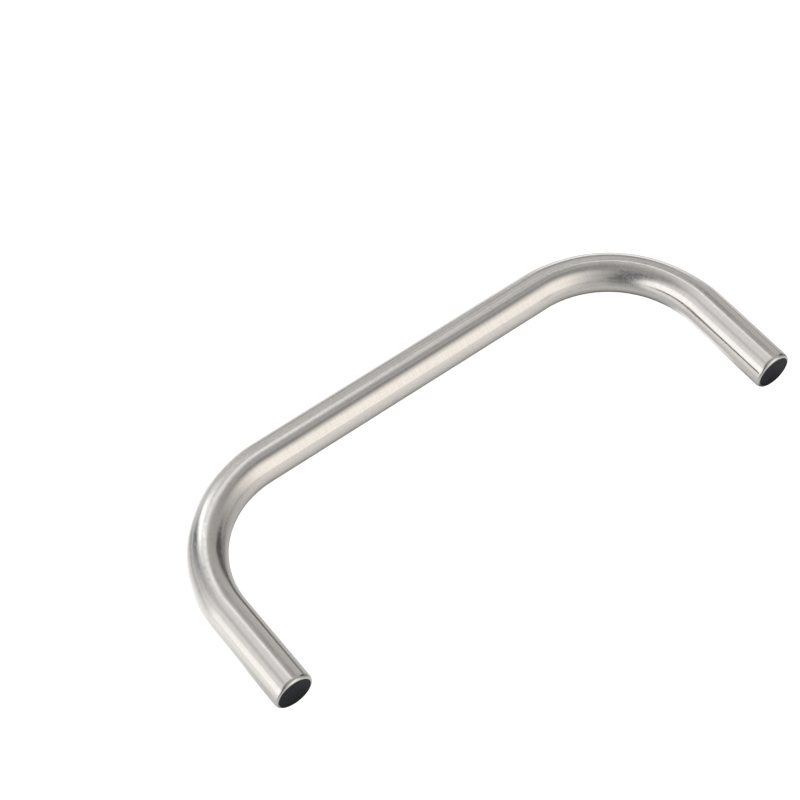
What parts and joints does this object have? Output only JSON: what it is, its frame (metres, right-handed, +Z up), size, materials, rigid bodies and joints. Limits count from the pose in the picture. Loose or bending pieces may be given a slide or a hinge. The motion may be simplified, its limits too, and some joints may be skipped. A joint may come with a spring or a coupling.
{
  "type": "grab rail",
  "caption": "U-bent satin stainless tube grab rail with rolled-in ends closed by flush black plastic plugs.",
  "frame": {"origin": "middle of the bottom of the bounding box: the surface that the rail lies on, midway between its two legs", "axes": "+X along the bar, from the left leg to the right leg; both open ends face -Y; +Z up from the surface"},
  "size_m": [0.375, 0.1466, 0.025],
  "materials": {
    "satin_stainless": "satin, finely brushed along the tube, duller on the bends",
    "black_plastic": "moulded, matte"
  },
  "bodies": {
    "root": {"rail_tube": "satin_stainless", "left_end_plug": "black_plastic", "right_end_plug": "black_plastic"}
  },
  "joints": []
}
